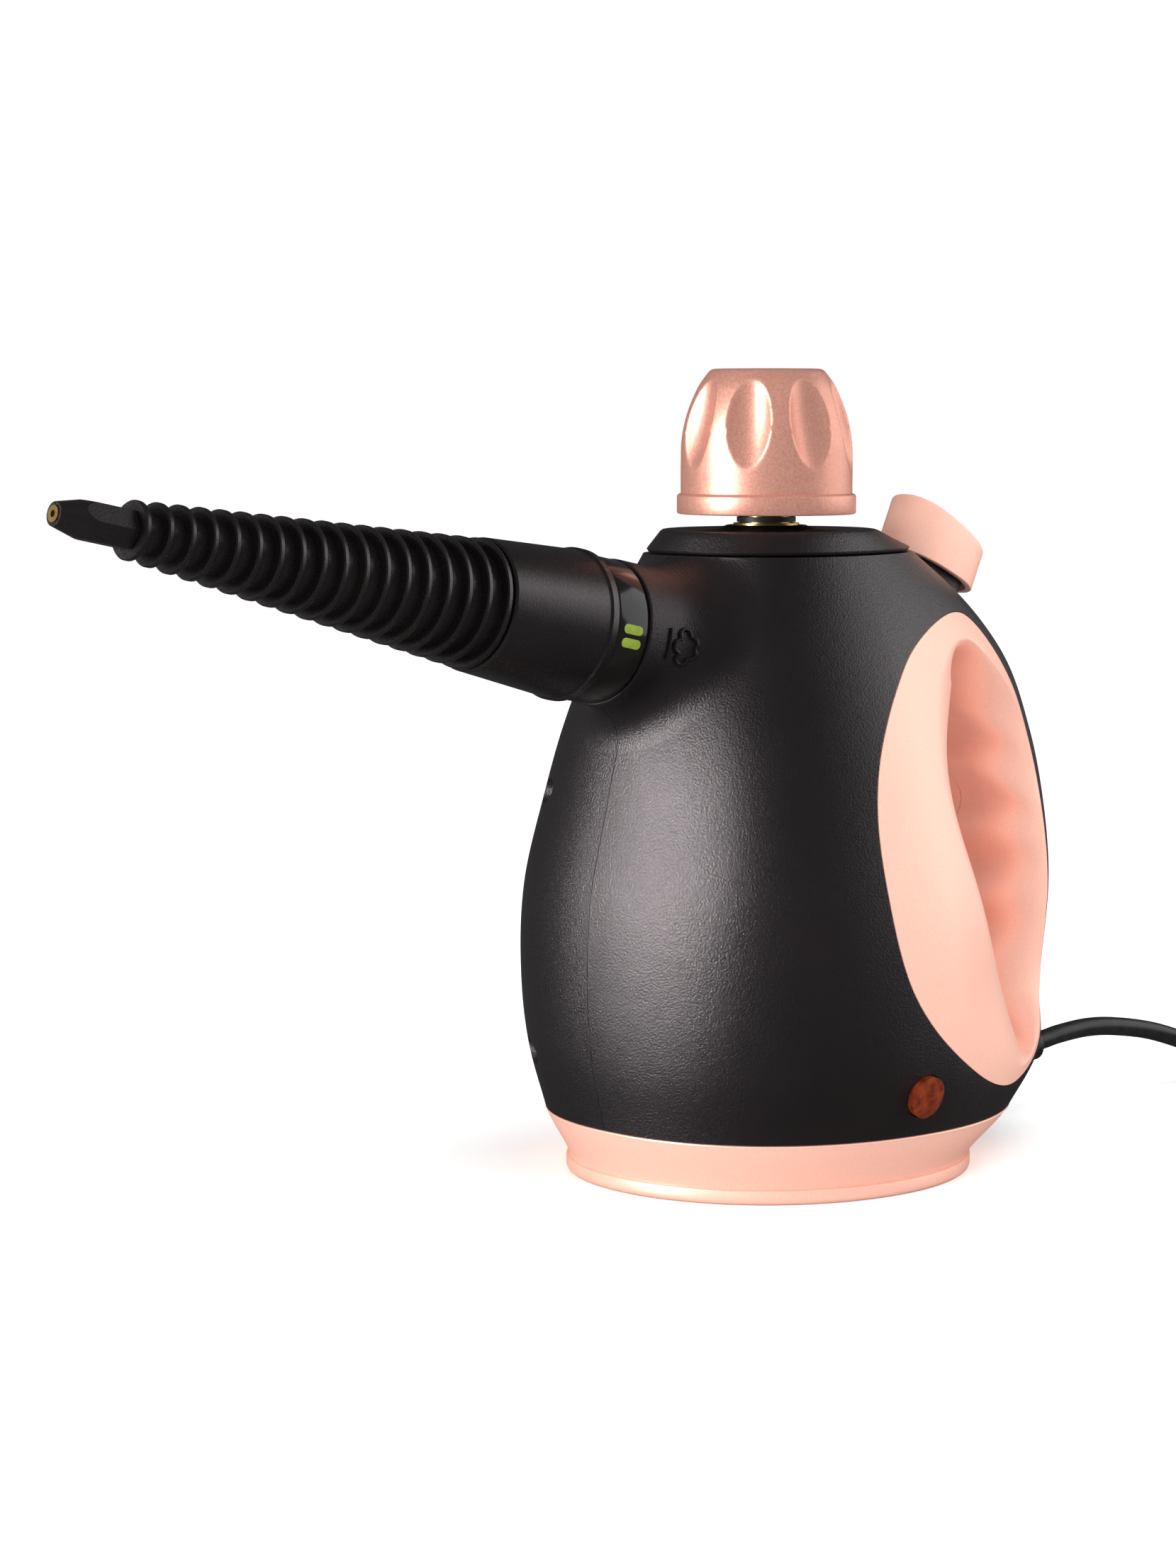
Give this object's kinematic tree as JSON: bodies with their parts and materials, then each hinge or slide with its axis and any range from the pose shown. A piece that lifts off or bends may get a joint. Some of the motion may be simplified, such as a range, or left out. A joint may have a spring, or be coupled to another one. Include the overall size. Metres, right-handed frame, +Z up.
{
  "type": "handheld steam cleaner",
  "caption": "Handheld pressure steam cleaner with a through grip, a fluted screw cap over the filler neck, a thumb trigger and a long ribbed nozzle, on a mains cord.",
  "frame": {"origin": "on the underside of the foot ring, below the axis of the cap", "axes": "+X along the nozzle, +Y to the user's left, +Z up"},
  "size_m": [0.6441, 0.1652, 0.2346],
  "materials": {
    "black_plastic": "fine grain",
    "gloss_black": "gloss",
    "rose_metallic": "satin metallic coat",
    "brass": "turned",
    "steel": "bright",
    "cast_alloy": "as cast",
    "silicone": "matt",
    "mark_green": "print",
    "amber": "clear amber",
    "lamp": "clear",
    "ceramic_white": "matt",
    "wire": "satin",
    "cord": "satin"
  },
  "bodies": {
    "base": {"left_housing": "black_plastic", "right_housing": "black_plastic", "left_grip_panel": "rose_metallic", "right_grip_panel": "rose_metallic", "base_cover": "rose_metallic", "base_screws": "steel", "housing_screws": "steel", "top_collar": "black_plastic", "boiler_lower": "cast_alloy", "boiler_upper": "cast_alloy", "boiler_gasket": "silicone", "boiler_bolts": "steel", "filler_neck": "brass", "heating_element": "steel", "thermostat": "black_plastic", "thermal_fuse": "ceramic_white", "terminal_block": "ceramic_white", "wiring": "wire", "valve_body": "brass", "steam_tube": "silicone", "trigger_guide": "black_plastic", "trigger_pin": "steel", "trigger_spring": "steel", "outlet_spigot": "black_plastic", "lock_ring": "gloss_black", "lock_marks": "mark_green", "indicator_lens": "amber", "indicator_lamp": "lamp", "strain_relief": "black_plastic", "power_cord": "cord", "cord_coil": "cord", "mains_plug": "cord", "plug_pins": "steel"},
    "trigger": {"trigger_button": "rose_metallic", "trigger_lever": "black_plastic"},
    "valve": {"valve_stem": "steel"},
    "cap_seal": {"cap_gasket": "silicone"},
    "cap_screw": {"cap_plug": "brass", "cap_spring": "steel"},
    "cap": {"cap_knob": "rose_metallic", "cap_retainer": "black_plastic", "cap_pegs": "black_plastic"},
    "nozzle_lock": {"nozzle_seal": "silicone"},
    "nozzle": {"ribbed_nozzle": "black_plastic", "nozzle_tip": "black_plastic", "jet_insert": "brass"}
  },
  "joints": [
    {"name": "trigger_press", "type": "hinge", "parent": "base", "child": "trigger", "pos_m": [-0.05507, 0, 0.17375], "axis": [0, -1, 0], "range_deg": [0, 10], "stiffness_Nm_per_rad": 1.2, "springref_deg": -6.88, "deforming": ["trigger_spring"]},
    {"name": "valve_lift", "type": "slide", "parent": "base", "child": "valve", "axis": [0, 0, 1], "range_m": [0, 0.0064]},
    {"name": "cap_rise", "type": "slide", "parent": "base", "child": "cap_seal", "axis": [0, 0, 1], "range_m": [0, 0.01]},
    {"name": "cap_turn", "type": "hinge", "parent": "cap_seal", "child": "cap_screw", "pos_m": [0, 0, 0.2], "axis": [0, 0, 1], "range_deg": [0, 1440]},
    {"name": "cap_press", "type": "slide", "parent": "cap_screw", "child": "cap", "axis": [0, 0, -1], "range_m": [0, 0.003], "stiffness_N_per_m": 1500, "springref_m": -0.004, "deforming": ["cap_spring"]},
    {"name": "nozzle_pull", "type": "slide", "parent": "base", "child": "nozzle_lock", "axis": [0.9803, 0, 0.1977], "range_m": [0, 0.024]},
    {"name": "nozzle_twist", "type": "hinge", "parent": "nozzle_lock", "child": "nozzle", "pos_m": [0.08822, 0, 0.16539], "axis": [0.9803, 0, 0.1977], "range_deg": [0, 40]}
  ],
  "couplings": [
    {"joint": "valve_lift", "follows": "trigger_press", "m_per_rad": 0.0354},
    {"joint": "cap_rise", "follows": "cap_turn", "m_per_rad": 0.00039789}
  ]
}
